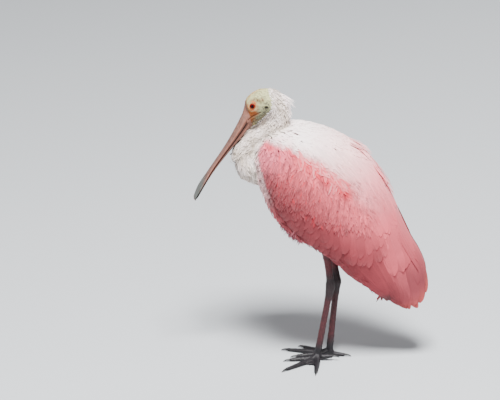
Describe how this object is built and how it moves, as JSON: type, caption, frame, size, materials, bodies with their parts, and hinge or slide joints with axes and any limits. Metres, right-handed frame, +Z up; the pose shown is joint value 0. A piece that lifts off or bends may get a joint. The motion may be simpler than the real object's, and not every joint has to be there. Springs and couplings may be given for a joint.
{
  "type": "roseate spoonbill",
  "caption": "Standing wading bird at rest, life size: a spoon-shaped bill points down over a drawn-in neck, with folded pink wings, long thin legs and half-webbed toes.",
  "frame": {"origin": "on the floor, under the middle of the bird's bounding box", "axes": "+Z up, -Y the way the bird faces, +X to its left"},
  "size_m": [0.1452, 0.3612, 0.4464],
  "materials": {
    "white_feather": "soft matte feathers, white with a faint pink and cream tint",
    "pale_feather": "soft matte feathers, pale pinkish white",
    "pink_feather": "soft matte feathers, pink with carmine streaks",
    "deep_feather": "smooth flight feathers, deep rose pink",
    "face_skin": "bare wrinkled skin, pale yellow-green with orange lores",
    "bill": "dull horn, pinkish grey-brown with darker mottling",
    "leg_skin": "small netted scales, dark maroon",
    "foot_skin": "wrinkled skin and small scales, blackish grey",
    "claw": "polished dark horn",
    "eye": "wet and glossy, red iris with a black pupil"
  },
  "bodies": {
    "root": {"bill_lower": "bill", "bill_upper": "bill", "claw_hind_left": "claw", "claw_hind_right": "claw", "claw_inner_left": "claw", "claw_inner_right": "claw", "claw_middle_left": "claw", "claw_middle_right": "claw", "claw_outer_left": "claw", "claw_outer_right": "claw", "eye_left": "eye", "eye_right": "eye", "foot_left": "foot_skin", "foot_right": "foot_skin", "head": "face_skin", "heel_left": "foot_skin", "heel_right": "foot_skin", "mantle": "white_feather", "nape_crest": "white_feather", "neck_lower": "white_feather", "neck_upper": "white_feather", "scapulars_left": "pale_feather", "scapulars_right": "pale_feather", "tail": "pale_feather", "tarsus_left": "leg_skin", "tarsus_right": "leg_skin", "tibia_left": "leg_skin", "tibia_right": "leg_skin", "trunk": "white_feather", "wing_coverts_left": "pink_feather", "wing_coverts_right": "pink_feather", "wing_primaries_left": "deep_feather", "wing_primaries_right": "deep_feather", "wing_secondaries_left": "deep_feather", "wing_secondaries_right": "deep_feather", "wing_tertials_left": "pale_feather", "wing_tertials_right": "pale_feather"}
  },
  "joints": []
}
